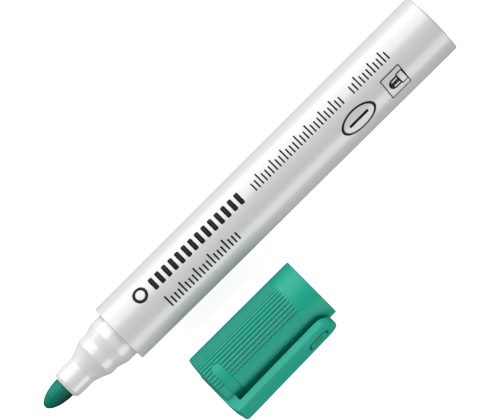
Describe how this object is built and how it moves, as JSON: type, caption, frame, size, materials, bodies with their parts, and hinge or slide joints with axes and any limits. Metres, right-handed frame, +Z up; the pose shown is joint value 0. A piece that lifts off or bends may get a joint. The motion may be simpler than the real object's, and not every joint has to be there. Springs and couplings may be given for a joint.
{
  "type": "whiteboard marker",
  "caption": "Bullet-nib whiteboard marker with a tapered round barrel, a stepped nib holder, and a ribbed push-on cap with a sprung clip lying beside it.",
  "frame": {"origin": "centre of the barrel's front rim, on the barrel's axis, where the cap's mouth stops when the cap is on", "axes": "+X along the barrel from the nib end to the tail, +Z up from the surface the marker lies on, the loose cap lies to -Y"},
  "size_m": [0.1289, 0.0442, 0.0166],
  "materials": {
    "barrel_white": "satin white polypropylene",
    "nose_white": "milky white polypropylene",
    "nib_fibre": "ink-soaked bonded fibre",
    "reservoir_fibre": "ink-soaked polyester fibre",
    "film": "thin clear film",
    "cap_green": "satin green polypropylene",
    "seal_white": "natural polyethylene",
    "print_black": "thin black screen print"
  },
  "bodies": {
    "marker": {"barrel": "barrel_white", "tail_plug": "barrel_white", "front_section": "nose_white", "reservoir_core": "reservoir_fibre", "reservoir_film": "film"},
    "nib": {"nib": "nib_fibre"},
    "cap": {"cap_shell": "cap_green", "inner_seal": "seal_white"},
    "clip": {"clip": "cap_green"}
  },
  "joints": [
    {"name": "cap_slide", "type": "slide", "parent": "marker", "child": "cap", "axis": [-1, 0, 0], "range_m": [0, 0.0645]},
    {"name": "clip_flex", "type": "hinge", "parent": "cap", "child": "clip", "pos_m": [0.008, -0.03395, 0.00461], "axis": [0, -0.4384, -0.8988], "range_deg": [0, 6], "stiffness_Nm_per_rad": 1.2},
    {"name": "nib_slide", "type": "slide", "parent": "marker", "child": "nib", "axis": [-1, 0, 0], "range_m": [0, 0.042]}
  ]
}
